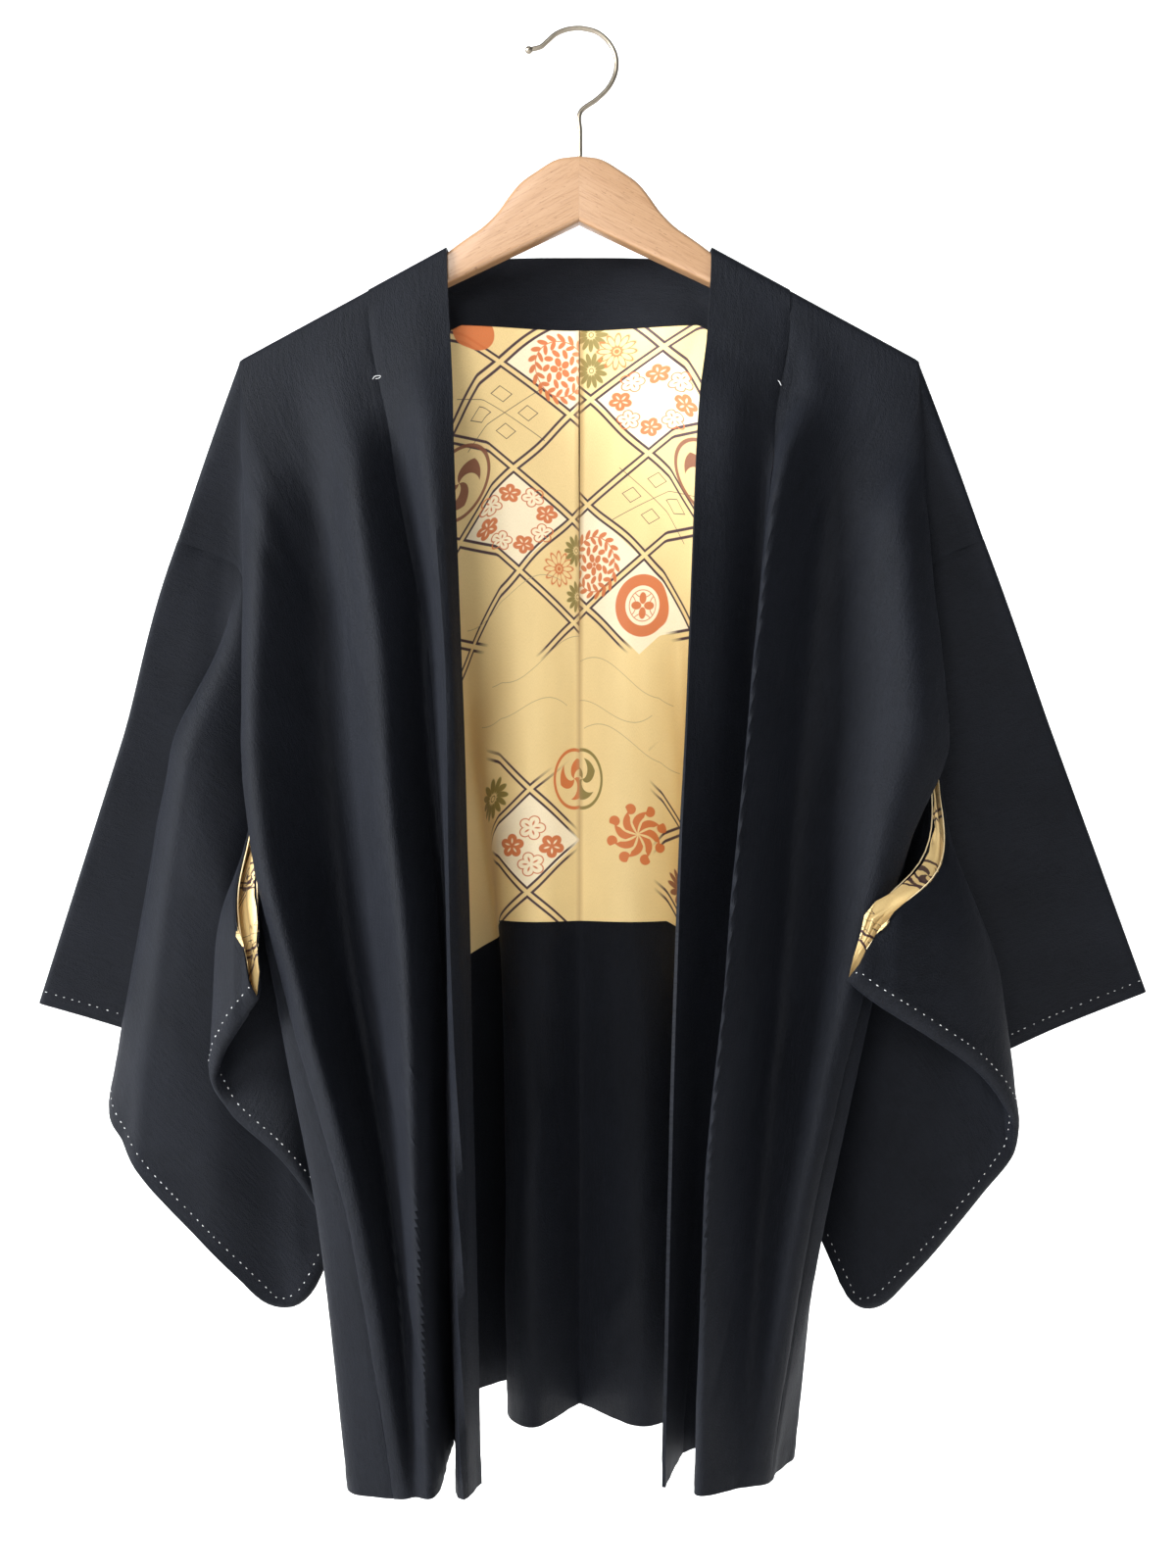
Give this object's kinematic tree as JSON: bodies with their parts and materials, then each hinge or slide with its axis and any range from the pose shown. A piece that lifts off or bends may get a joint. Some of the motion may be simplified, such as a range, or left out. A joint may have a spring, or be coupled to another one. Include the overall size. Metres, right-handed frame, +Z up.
{
  "type": "haori jacket on a hanger",
  "caption": "Hip-length open haori jacket with deep hanging sleeves, folded collar and lined back, draped over a flat wooden coat hanger with a wire hook.",
  "frame": {"origin": "inside top of the hanger's hook, where a rail carries it", "axes": "+Z up, +X to the viewer's right as the jacket is seen from its front, +Y from the jacket's front to its back"},
  "size_m": [0.7276, 0.1955, 0.8874],
  "materials": {
    "black_crepe": "matt silk crepe",
    "printed_lining": "soft printed silk",
    "beech": "satin lacquer",
    "wire": "plated"
  },
  "bodies": {
    "root": {"front_right": "black_crepe", "back_right": "black_crepe", "front_left": "black_crepe", "back_left": "black_crepe", "gusset_right": "black_crepe", "gusset_left": "black_crepe", "sleeve_right": "black_crepe", "sleeve_left": "black_crepe", "collar": "black_crepe", "back_lining_right": "printed_lining", "back_lining_left": "printed_lining", "sleeve_lining_right": "printed_lining", "sleeve_lining_left": "printed_lining", "hanger_arm_right": "beech", "hanger_arm_left": "beech", "hook": "wire"}
  },
  "joints": []
}
